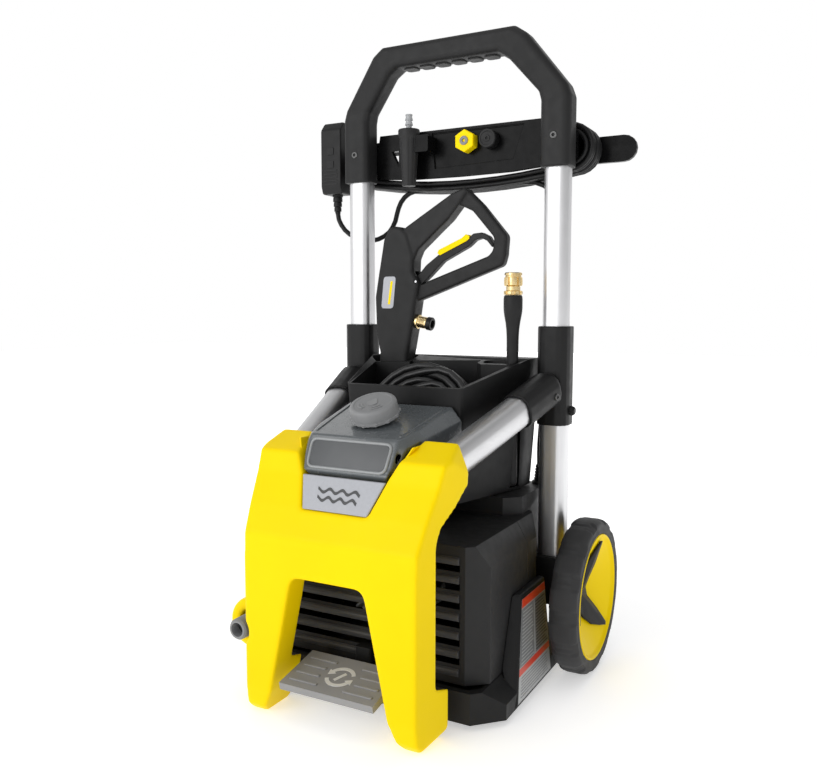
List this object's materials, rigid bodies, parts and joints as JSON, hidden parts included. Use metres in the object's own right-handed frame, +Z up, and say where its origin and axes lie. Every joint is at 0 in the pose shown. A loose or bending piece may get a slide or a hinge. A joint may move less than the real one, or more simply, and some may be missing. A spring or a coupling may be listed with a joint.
{
  "type": "pressure washer",
  "caption": "Upright electric pressure washer on a two-wheeled trolley frame, with a foot pedal, detergent tank, hose bin, trigger gun, lance and cord hooks.",
  "frame": {"origin": "on the floor under the middle of the bounding box", "axes": "+Z up; -Y is the front, with the cover and foot pedal; +X is the side of the lance and the cord's gland"},
  "size_m": [0.484, 0.4246, 0.864],
  "materials": {
    "yellow_plastic": "satin moulded plastic",
    "black_plastic": "fine-textured moulded plastic",
    "grey_plastic": "fine-textured moulded plastic",
    "light_grey_plastic": "moulded plastic",
    "smoky_plastic": "translucent grey blow-moulded plastic",
    "aluminium": "anodised extrusion",
    "steel": "plain steel",
    "silver_plate": "silver paint, blank",
    "brass": "turned brass",
    "tyre_rubber": "hard moulded tyre",
    "cord_rubber": "smooth black sheath"
  },
  "bodies": {
    "machine": {"axle": "steel", "axle_bracket_left": "black_plastic", "axle_bracket_right": "black_plastic", "base_tray": "grey_plastic", "cord_bracket": "black_plastic", "cord_feed": "cord_rubber", "cord_gland": "black_plastic", "cord_winding": "cord_rubber", "detergent_tank": "smoky_plastic", "diagonal_tube_left": "aluminium", "diagonal_tube_right": "aluminium", "frame_bolt_left": "black_plastic", "frame_bolt_right": "black_plastic", "front_cover": "yellow_plastic", "front_housing": "grey_plastic", "handle": "black_plastic", "hose_coil": "cord_rubber", "hose_coupling": "grey_plastic", "hose_tail": "cord_rubber", "inlet_nipple": "light_grey_plastic", "motor_can": "steel", "name_plate": "silver_plate", "outlet_fitting": "brass", "pedal_pin": "steel", "plug_lead": "cord_rubber", "power_switch": "black_plastic", "pump_head": "aluminium", "rear_housing": "grey_plastic", "safety_plug": "black_plastic", "side_panel_left": "grey_plastic", "side_panel_right": "grey_plastic", "storage_bin": "black_plastic", "tube_connector_left": "black_plastic", "tube_connector_right": "black_plastic", "upright_lower_left": "aluminium", "upright_lower_right": "aluminium", "upright_upper_left": "aluminium", "upright_upper_right": "aluminium"},
    "wheel_left": {"tyre_left": "tyre_rubber", "wheel_disc_left": "yellow_plastic", "hub_cap_left": "black_plastic"},
    "wheel_right": {"tyre_right": "tyre_rubber", "wheel_disc_right": "yellow_plastic", "hub_cap_right": "black_plastic"},
    "pedal": {"foot_pedal": "light_grey_plastic"},
    "plunger": {"switch_plunger": "light_grey_plastic"},
    "cap": {"tank_cap": "light_grey_plastic"},
    "gun": {"gun_body": "black_plastic", "gun_inlet": "brass", "trigger_pin": "steel"},
    "trigger": {"gun_trigger": "black_plastic"},
    "latch": {"trigger_latch": "yellow_plastic"},
    "lance": {"lance": "black_plastic", "lance_coupling": "brass"},
    "detergent_nozzle": {"detergent_nozzle": "grey_plastic"},
    "fan_nozzle": {"spray_nozzle_fan": "yellow_plastic"},
    "jet_nozzle": {"spray_nozzle_jet": "black_plastic"},
    "rotor": {"motor_rotor": "steel", "cooling_fan": "grey_plastic"},
    "gear": {"drive_gear": "light_grey_plastic"}
  },
  "joints": [
    {"name": "wheel_left_spin", "type": "hinge", "parent": "machine", "child": "wheel_left", "pos_m": [-0.2085, 0.1087, 0.1036], "axis": [1, 0, 0], "continuous": true},
    {"name": "wheel_right_spin", "type": "hinge", "parent": "machine", "child": "wheel_right", "pos_m": [0.2085, 0.1087, 0.1036], "axis": [1, 0, 0], "continuous": true},
    {"name": "pedal_press", "type": "hinge", "parent": "machine", "child": "pedal", "pos_m": [0, -0.1353, 0.05], "axis": [1, 0, 0], "range_deg": [0, 6], "stiffness_Nm_per_rad": 6, "springref_deg": -5.73},
    {"name": "plunger_push", "type": "slide", "parent": "machine", "child": "plunger", "axis": [0, 0, 1], "range_m": [0, 0.0012]},
    {"name": "cap_turn", "type": "hinge", "parent": "machine", "child": "cap", "pos_m": [0, -0.09461, 0.35752], "axis": [0, -0.3845, 0.9231], "continuous": true},
    {"name": "gun_lift", "type": "slide", "parent": "machine", "child": "gun", "axis": [0, 0, 1], "range_m": [0, 0.05]},
    {"name": "trigger_pull", "type": "hinge", "parent": "gun", "child": "trigger", "pos_m": [-0.05, 0.1177, 0.529], "axis": [0, -1, 0], "range_deg": [0, 9], "stiffness_Nm_per_rad": 0.4, "springref_deg": -8.59},
    {"name": "latch_flip", "type": "hinge", "parent": "trigger", "child": "latch", "pos_m": [-0.0155, 0.1177, 0.5715], "axis": [0, -1, 0], "range_deg": [0, 18]},
    {"name": "lance_lift", "type": "slide", "parent": "machine", "child": "lance", "axis": [0, 0, 1], "range_m": [0, 0.18]},
    {"name": "detergent_nozzle_lift", "type": "slide", "parent": "machine", "child": "detergent_nozzle", "axis": [0, 0, 1], "range_m": [0, 0.05]},
    {"name": "fan_nozzle_pull", "type": "slide", "parent": "machine", "child": "fan_nozzle", "axis": [0, -1, 0], "range_m": [0, 0.02]},
    {"name": "jet_nozzle_pull", "type": "slide", "parent": "machine", "child": "jet_nozzle", "axis": [0, -1, 0], "range_m": [0, 0.02]},
    {"name": "motor_spin", "type": "hinge", "parent": "machine", "child": "rotor", "pos_m": [0, -0.0823, 0.132], "axis": [0, 1, 0], "continuous": true},
    {"name": "gear_spin", "type": "hinge", "parent": "machine", "child": "gear", "pos_m": [0, 0.0137, 0.102], "axis": [0, 1, 0], "continuous": true}
  ],
  "couplings": [
    {"joint": "plunger_push", "follows": "pedal_press", "m_per_rad": 0.011},
    {"joint": "gear_spin", "follows": "motor_spin", "ratio": -0.33333}
  ]
}
